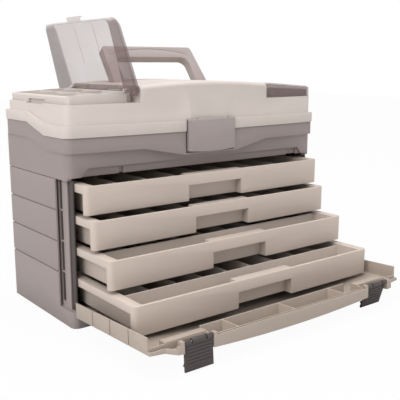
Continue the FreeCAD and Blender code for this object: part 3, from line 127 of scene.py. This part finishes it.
class CabinetSizes(bpy.types.PropertyGroup):
    """Sizes of the finishing touches; everything else comes from the frame."""
    edge_round: length("Edge round", "Radius on the edges of the moulded walls", 0.7)
    pin_round: length("Pin round", "Radius on the ends of the pins and rods", 0.25)
    cover_round: length("Cover round", "Radius on the edges of the clear covers", 0.6)
    grain: length("Grain", "Size of the moulded grain", 0.9)


class CabinetColours(bpy.types.PropertyGroup):
    """Colours of the plastics and the steel."""
    shell: colour("Shell", "Warm grey of the body and the tub", 158, 145, 142)
    lid: colour("Lid", "Pale beige of the lid", 213, 202, 195)
    drawer: colour("Drawer", "Beige of the drawers", 207, 192, 181)
    # The door's beige is the drawers' beige darkened as painted shade.
    door: colour("Door", "Darker beige of the door", 181, 166, 154)
    trim: colour("Trim", "Grey of the handle and the centre latch", 168, 156, 153)
    # On the door latches this dark grey is their own colour; on the runner racks it is painted
    # shade for the dark slot beside the drawers.
    clip: colour("Clip", "Dark grey of the door latches and the racks", 80, 72, 71)
    smoke: colour("Smoke", "Tint of the clear covers", 168, 140, 136)
    steel: colour("Steel", "Bright drawn wire", 200, 200, 202)
    floor: colour("Floor", "Pale studio floor", 214, 214, 214)


# ------------------------------------------------------------------ shader maths
class Wire:
    """A shader socket that takes part in arithmetic by adding Math nodes."""

    def __init__(self, paint, socket):
        self.paint = paint
        self.socket = socket

    def _math(self, operation, first, second):
        return self.paint.node("ShaderNodeMath", {"operation": operation}, {0: first, 1: second})

    def __add__(self, other):
        return self._math("ADD", self, other)

    def __radd__(self, other):
        return self._math("ADD", other, self)

    def __sub__(self, other):
        return self._math("SUBTRACT", self, other)

    def __rsub__(self, other):
        return self._math("SUBTRACT", other, self)

    def __mul__(self, other):
        return self._math("MULTIPLY", self, other)

    def __rmul__(self, other):
        return self._math("MULTIPLY", other, self)


class Paint:
    """A new node material and the methods that add nodes to it."""

    def __init__(self, name):
        self.material = bpy.data.materials.new(name)
        self.material.use_nodes = True
        self.tree = self.material.node_tree
        self.shader = next(node for node in self.tree.nodes if node.type == "BSDF_PRINCIPLED")
        self.output = next(node for node in self.tree.nodes if node.type == "OUTPUT_MATERIAL")

    def node(self, kind, settings=None, inputs=None, output=0):
        """Adds a node, sets its settings and then its sockets, and gives one output as a Wire."""
        node = self.tree.nodes.new(kind)
        for name, value in (settings or {}).items():
            setattr(node, name, value)
        for name, value in (inputs or {}).items():
            self.feed(node.inputs[name], value)
        return Wire(self, node.outputs[output])

    def feed(self, socket, value):
        """Links a Wire to the socket, or sets the socket to a plain value."""
        if isinstance(value, Wire):
            self.tree.links.new(value.socket, socket)
        else:
            socket.default_value = value

    def coat(self, **inputs):
        """Sets the sockets of the main shader; underscores stand for spaces."""
        for name, value in inputs.items():
            self.feed(self.shader.inputs[name.replace("_", " ")], value)

    def place(self):
        """The point on the object, in metres."""
        return self.node("ShaderNodeTexCoord", output="Object")

    def stretch(self, where, scale):
        """The point with its three coordinates multiplied by scale."""
        return self.node("ShaderNodeMapping", None, {"Vector": where, "Scale": scale})

    def noise(self, where, scale, detail=2.0, roughness=0.5):
        """Cloudy values from 0 to 1, finer with scale."""
        return self.node("ShaderNodeTexNoise", None,
                         {"Vector": where, "Scale": scale, "Detail": detail,
                          "Roughness": roughness}, "Fac")

    def ramp(self, factor, low, high):
        """A smooth step from 0 at low to 1 at high."""
        return self.node("ShaderNodeMapRange", {"interpolation_type": "SMOOTHSTEP"},
                         {"Value": factor, "From Min": low, "From Max": high})

    def blend(self, factor, first, second):
        """The first colour where factor is 0 and the second where it is 1."""
        return self.node("ShaderNodeMix", {"data_type": "RGBA"},
                         {0: factor, 6: first, 7: second}, 2)

    def bump(self, height, distance, strength=1.0):
        """A normal tilted by a height that spans distance, in metres."""
        return self.node("ShaderNodeBump", None,
                         {"Height": height, "Distance": distance, "Strength": strength})


def opaque(shade, gain=1.0):
    """A shade made lighter or darker by gain, with full opacity."""
    return [min(1.0, channel * gain) for channel in shade] + [1.0]


def moulded_plastic(name, shade, roughness, grain, stipple):
    """Moulded polypropylene: even colour with faint flow marks, satin, finely stippled."""
    paint = Paint(name)
    where = paint.place()
    stretched = paint.stretch(where, (5.0, 9.0, 22.0))
    flow = paint.noise(stretched, scale=1.6, detail=3.0)
    cloud = paint.noise(where, scale=28.0)
    mottle = paint.ramp(flow * 0.6 + cloud * 0.4, low=0.34, high=0.66)
    base = paint.blend(mottle, opaque(shade, gain=0.985), opaque(shade, gain=1.012))
    scratch = paint.noise(where, scale=60.0, detail=4.0, roughness=0.7)
    rub = paint.ramp(scratch, low=0.58, high=0.74)
    worn = paint.blend(rub * 0.08, base, opaque(shade, gain=1.12))
    fine = paint.noise(where, scale=1.0 / grain, detail=1.0)
    coarse = paint.noise(where, scale=0.12 / grain)
    relief = paint.bump(fine * 0.75 + coarse * 0.25, distance=stipple)
    satin = roughness + (fine - 0.5) * 0.16 + (cloud - 0.5) * 0.1
    paint.coat(Base_Color=worn, Roughness=satin, Normal=relief,
               Specular_IOR_Level=PLASTIC_GLOSS)
    return paint.material


def smoke_plastic(name, shade):
    """Smoke-tinted clear styrene: a glossy see-through sheet, with painted shade darkening its
    two end walls.
    """
    paint = Paint(name)
    where = paint.place()
    haze = paint.ramp(paint.noise(where, scale=14.0, detail=3.0), low=0.3, high=0.75)
    wear = paint.noise(where, scale=190.0, detail=3.0, roughness=0.7)
    scuff = paint.ramp(wear, low=0.6, high=0.8)
    along = paint.node("ShaderNodeSeparateXYZ", None, {"Vector": where}, "Y")
    reach = paint.node("ShaderNodeMath", {"operation": "ABSOLUTE"}, {0: along})
    # Painted shade: towards the two end walls the tint darkens and the sheet turns less clear.
    end_wall_shade = paint.ramp(reach, *COVER_EDGE)
    sheet = paint.blend(haze, opaque(shade, gain=0.92), opaque(shade, gain=1.06))
    tint = paint.blend(end_wall_shade, sheet, opaque(shade, gain=0.6))
    relief = paint.bump(haze, distance=0.4 * MM, strength=0.4)
    paint.coat(Base_Color=tint, Roughness=0.09 + scuff * 0.12,
               Alpha=0.26 + haze * 0.04 + end_wall_shade * 0.2, Normal=relief,
               Specular_IOR_Level=CLEAR_GLOSS)
    paint.material.surface_render_method = "BLENDED"
    return paint.material


def drawn_steel(name, shade):
    """Bright steel wire with fine lengthwise drawing marks."""
    paint = Paint(name)
    where = paint.place()
    marks = paint.noise(paint.stretch(where, (40.0, 900.0, 900.0)), scale=2.0)
    paint.coat(Base_Color=paint.blend(marks, opaque(shade, gain=0.86), opaque(shade)),
               Metallic=1.0, Roughness=0.24 + marks * 0.2,
               Normal=paint.bump(marks, distance=0.08 * MM))
    return paint.material


def studio_floor(name, shade):
    """A pale floor that the camera sees nearly white, with a soft shadow kept in it."""
    paint = Paint(name)
    where = paint.place()
    speck = paint.noise(where, scale=5.0)
    paint.coat(Base_Color=paint.blend(speck, opaque(shade, gain=0.985), opaque(shade)),
               Roughness=0.9)
    glow = paint.node("ShaderNodeEmission", None, {"Color": (1, 1, 1, 1), "Strength": 1.0})
    seen = paint.node("ShaderNodeLightPath", output="Is Camera Ray")
    mixed = paint.node("ShaderNodeMixShader", None,
                       {0: seen * FLOOR_GLOW, 1: Wire(paint, paint.shader.outputs[0]), 2: glow})
    paint.feed(paint.output.inputs["Surface"], mixed)
    return paint.material


def finish(key):
    """The material for a slot of the record or for a darker tone painted as shade, made on first
    use.
    """
    name = f"{key}_finish"
    if name in bpy.data.materials:
        return bpy.data.materials[name]
    tones = bpy.context.scene.cabinet_colours
    if key == "smoke_clear":
        return smoke_plastic(name, tones.smoke)
    if key == "pin_steel":
        return drawn_steel(name, tones.steel)
    tone, roughness, stipple = PLASTICS[key]
    grain = bpy.context.scene.cabinet_sizes.grain
    return moulded_plastic(name, getattr(tones, tone), roughness, grain, stipple)


# ------------------------------------------------------------------ modelling helpers
def node_slot(node):
    """The record's material slot of a frame node."""
    for part in frame["record"]["subparts"]:
        if part["node"] == node:
            return part["material_slot"]
    raise ValueError(node)


def body_of(node):
    """The moving body that a frame node belongs to."""
    for body, nodes in frame["record"]["behaviour"]["bodies"].items():
        if node in nodes:
            return body
    raise ValueError(node)


def only(piece):
    """Makes piece the one selected and active object."""
    bpy.ops.object.select_all(action="DESELECT")
    piece.select_set(True)
    bpy.context.view_layer.objects.active = piece


def apply_modifier(piece, kind, **settings):
    """Adds a modifier with these settings and makes its result the piece's own mesh."""
    modifier = piece.modifiers.new(kind.title(), kind)
    for name, value in settings.items():
        setattr(modifier, name, value)
    only(piece)
    bpy.ops.object.modifier_apply(modifier=modifier.name)


def skin(node, width):
    """A copy of a frame node with its flat faces joined up and its sharp edges rounded."""
    only(frame["nodes"][node])
    bpy.ops.object.duplicate()
    piece = bpy.context.active_object
    piece.name = f"{node}_skin"
    bpy.ops.object.mode_set(mode="EDIT")
    bpy.ops.mesh.select_all(action="SELECT")
    bpy.ops.mesh.remove_doubles(threshold=WELD_GAP)
    bpy.ops.mesh.dissolve_limited(angle_limit=FLAT_ANGLE)
    bpy.ops.mesh.normals_make_consistent(inside=False)
    bpy.ops.object.mode_set(mode="OBJECT")
    apply_modifier(piece, "BEVEL", width=width, segments=ROUND_SEGMENTS, limit_method="ANGLE",
                   angle_limit=SHARP_ANGLE, use_clamp_overlap=True)
    bpy.ops.object.shade_smooth_by_angle(angle=SMOOTH_ANGLE)
    settle(piece, node)


def settle(piece, node):
    """Gives a piece the finish and the body of the frame node that it stands for."""
    key = node_slot(node)
    piece.data.materials.clear()
    # The door gets its slot's beige darkened as painted shade.
    piece.data.materials.append(finish(SHADED_TONES.get(node, key)))
    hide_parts(node)
    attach(piece, body_of(node))


# ------------------------------------------------------------------ pieces
class StageOperator(bpy.types.Operator):
    """Sets the floor, the lights, the world and the camera"""
    bl_idname = "cabinet.stage"
    bl_label = "Stage"

    def execute(self, context):
        self.floor(context)
        self.lights(context)
        self.world(context)
        self.camera(context)
        return {"FINISHED"}

    def floor(self, context):
        bpy.ops.object.select_all(action="DESELECT")
        bpy.ops.mesh.primitive_plane_add(size=FLOOR_SIZE, location=(0.0, 0.0, -FLOOR_DROP))
        floor = context.active_object
        floor.name = "floor"
        bpy.ops.object.transform_apply(location=True)
        shade = context.scene.cabinet_colours.floor
        floor.data.materials.append(studio_floor("floor_finish", shade))

    def lights(self, context):
        for name, place, size, power in LAMPS:
            bpy.ops.object.light_add(type="AREA", location=place)
            lamp = context.active_object
            lamp.name = f"{name}_light"
            lamp.data.shape = "DISK"
            lamp.data.size = size
            lamp.data.energy = power
            aim = LAMP_TARGET - Vector(place)
            lamp.rotation_euler = aim.to_track_quat("-Z", "Y").to_euler()

    def world(self, context):
        world = bpy.data.worlds.new("studio")
        world.use_nodes = True
        context.scene.world = world
        tree = world.node_tree
        background = next(node for node in tree.nodes if node.type == "BACKGROUND")
        path = tree.nodes.new("ShaderNodeLightPath")
        reach = tree.nodes.new("ShaderNodeMapRange")
        reach.inputs["To Min"].default_value = AMBIENT
        reach.inputs["To Max"].default_value = 1.0
        background.inputs["Color"].default_value = (1, 1, 1, 1)
        tree.links.new(path.outputs["Is Camera Ray"], reach.inputs["Value"])
        tree.links.new(reach.outputs[0], background.inputs["Strength"])

    def camera(self, context):
        bpy.ops.object.camera_add(location=CAMERA_PLACE)
        camera = context.active_object
        camera.name = "camera"
        aim = CAMERA_TARGET - CAMERA_PLACE
        camera.rotation_euler = aim.to_track_quat("-Z", "Y").to_euler()
        camera.data.lens = CAMERA_LENS
        camera.data.sensor_width = SENSOR_WIDTH
        context.scene.camera = camera


class SkinGroup:
    """Shared by the operators that skin a list of nodes; rounding names the size they use."""
    nodes = ()
    rounding = "edge_round"

    def execute(self, context):
        width = getattr(context.scene.cabinet_sizes, self.rounding)
        for node in self.nodes:
            skin(node, width)
        return {"FINISHED"}


class ShellOperator(SkinGroup, bpy.types.Operator):
    """Rounds and finishes the body, its base, the runner racks and the tub"""
    bl_idname = "cabinet.shell"
    bl_label = "Body and tub"
    nodes = ("cabinet_shell", "base_pan", "left_runner_rack", "right_runner_rack", "upper_tub")


class LidOperator(SkinGroup, bpy.types.Operator):
    """Rounds and finishes the lid and its pocket trays"""
    bl_idname = "cabinet.lid"
    bl_label = "Lid"
    nodes = ("lid_shell", "left_pocket_tray", "right_pocket_tray")


class CoverOperator(SkinGroup, bpy.types.Operator):
    """Rounds and finishes the clear covers"""
    bl_idname = "cabinet.covers"
    bl_label = "Clear covers"
    nodes = ("left_access_cover", "right_access_cover")
    rounding = "cover_round"


class FittingOperator(SkinGroup, bpy.types.Operator):
    """Rounds and finishes the handle and the latches"""
    bl_idname = "cabinet.fittings"
    bl_label = "Handle and latches"
    nodes = ("carry_handle", "centre_latch", "left_door_latch", "right_door_latch")


class DrawerOperator(bpy.types.Operator):
    """Rounds and finishes the drawers and their dividers"""
    bl_idname = "cabinet.drawers"
    bl_label = "Drawers"

    def execute(self, context):
        width = context.scene.cabinet_sizes.edge_round
        for number in range(1, DRAWERS + 1):
            skin(f"drawer_{number}", width)
            skin(f"drawer_{number}_dividers", width / 2)
        return {"FINISHED"}


class DoorOperator(SkinGroup, bpy.types.Operator):
    """Rounds and finishes the drop-down door"""
    bl_idname = "cabinet.door"
    bl_label = "Door"
    nodes = ("front_door",)


class PinOperator(bpy.types.Operator):
    """Rounds and finishes the hinge rods and pins"""
    bl_idname = "cabinet.pins"
    bl_label = "Rods and pins"

    def execute(self, context):
        width = context.scene.cabinet_sizes.pin_round
        for part in frame["record"]["subparts"]:
            if part["material_slot"] == "pin_steel":
                skin(part["node"], width)
        return {"FINISHED"}


class CabinetPanel(bpy.types.Panel):
    """Lists the pieces of the cabinet in the sidebar"""
    bl_idname = "CABINET_PT_pieces"
    bl_label = "Tackle cabinet"
    bl_space_type = "VIEW_3D"
    bl_region_type = "UI"
    bl_category = "Cabinet"

    def draw(self, context):
        column = self.layout.column()
        for operator in OPERATORS:
            column.operator(operator.bl_idname)


OPERATORS = (StageOperator, ShellOperator, LidOperator, CoverOperator, FittingOperator,
             DrawerOperator, DoorOperator, PinOperator)
CLASSES = (CabinetSizes, CabinetColours) + OPERATORS + (CabinetPanel,)


def register():
    """Registers the classes and hangs the settings on the scene."""
    for item in CLASSES:
        bpy.utils.register_class(item)
    bpy.types.Scene.cabinet_sizes = PointerProperty(type=CabinetSizes)
    bpy.types.Scene.cabinet_colours = PointerProperty(type=CabinetColours)


def unregister():
    """Undoes register()."""
    del bpy.types.Scene.cabinet_colours
    del bpy.types.Scene.cabinet_sizes
    for item in reversed(CLASSES):
        bpy.utils.unregister_class(item)


def main():
    """Registers the add-on, sets the view and the bounces, and builds every piece."""
    register()
    bpy.context.scene.view_settings.view_transform = "Standard"
    bpy.context.scene.cycles.diffuse_bounces = DIFFUSE_BOUNCES
    for operator in OPERATORS:
        category, name = operator.bl_idname.split(".")
        getattr(getattr(bpy.ops, category), name)()


if __name__ == "__main__":
    main()
